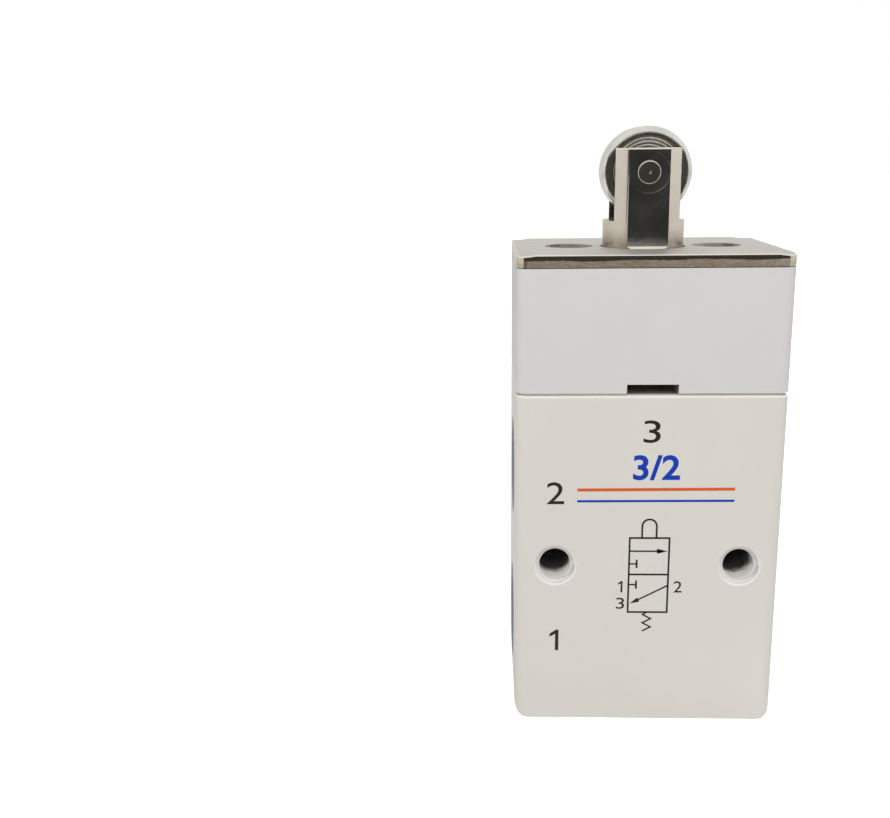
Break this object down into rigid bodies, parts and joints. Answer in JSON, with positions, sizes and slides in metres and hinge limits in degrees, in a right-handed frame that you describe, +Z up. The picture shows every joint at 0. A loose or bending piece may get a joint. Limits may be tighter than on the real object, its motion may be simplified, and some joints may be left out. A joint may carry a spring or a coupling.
{
  "type": "pneumatic control valve",
  "caption": "Roller plunger valve: white block with side ports, cover with exhaust slot, steel plate, sprung fork with roller, poppet and seals inside.",
  "frame": {"origin": "centre of the block's base", "axes": "+Z up along the plunger, -Y out of the front with the exhaust slot, -X out of the two ports"},
  "size_m": [0.035, 0.027, 0.0794],
  "materials": {
    "body_paint": "smooth satin warm white paint on a cast and machined block",
    "cover_plastic": "smooth satin cool white moulding",
    "plate_nickel": "nickel plated sheet steel, sheared edges",
    "head_nickel": "nickel plated turned and milled steel",
    "screw_steel": "zinc nickel plated steel",
    "pin_steel": "ground steel",
    "inner_brass": "turned brass",
    "inner_steel": "turned stainless steel",
    "spring_steel": "drawn spring wire",
    "ring_steel": "phosphated spring steel",
    "seal_rubber": "matt black nitrile rubber"
  },
  "bodies": {
    "valve": {"valve_body": "body_paint", "cover": "cover_plastic", "cover_plate": "plate_nickel", "cover_screw_left": "screw_steel", "cover_screw_right": "screw_steel", "bottom_plug": "inner_brass", "plug_seal": "seal_rubber", "retaining_ring": "ring_steel", "stem_guide_bush": "inner_brass", "bush_seal": "seal_rubber", "stem_seal": "seal_rubber", "plunger_spring": "spring_steel", "stem_spring": "spring_steel", "poppet_spring": "spring_steel"},
    "plunger": {"plunger": "head_nickel", "roller_pin": "pin_steel"},
    "roller": {"roller": "head_nickel"},
    "stem": {"stem": "inner_steel"},
    "poppet": {"poppet": "inner_brass", "poppet_seal": "seal_rubber"}
  },
  "joints": [
    {"name": "plunger_slide", "type": "slide", "parent": "valve", "child": "plunger", "axis": [0, 0, -1], "range_m": [0, 0.0035], "stiffness_N_per_m": 1500, "springref_m": -0.005, "deforming": ["plunger_spring"]},
    {"name": "roller_spin", "type": "hinge", "parent": "plunger", "child": "roller", "pos_m": [0, 0, 0.07345], "axis": [0, 1, 0], "continuous": true},
    {"name": "stem_slide", "type": "slide", "parent": "valve", "child": "stem", "axis": [0, 0, -1], "range_m": [0, 0.0035], "deforming": ["stem_spring"]},
    {"name": "poppet_slide", "type": "slide", "parent": "valve", "child": "poppet", "axis": [0, 0, -1], "range_m": [0, 0.0023], "deforming": ["poppet_spring"]}
  ],
  "couplings": [
    {"joint": "stem_slide", "follows": "plunger_slide", "ratio": 1},
    {"joint": "poppet_slide", "follows": "plunger_slide", "ratio": 0.657}
  ]
}
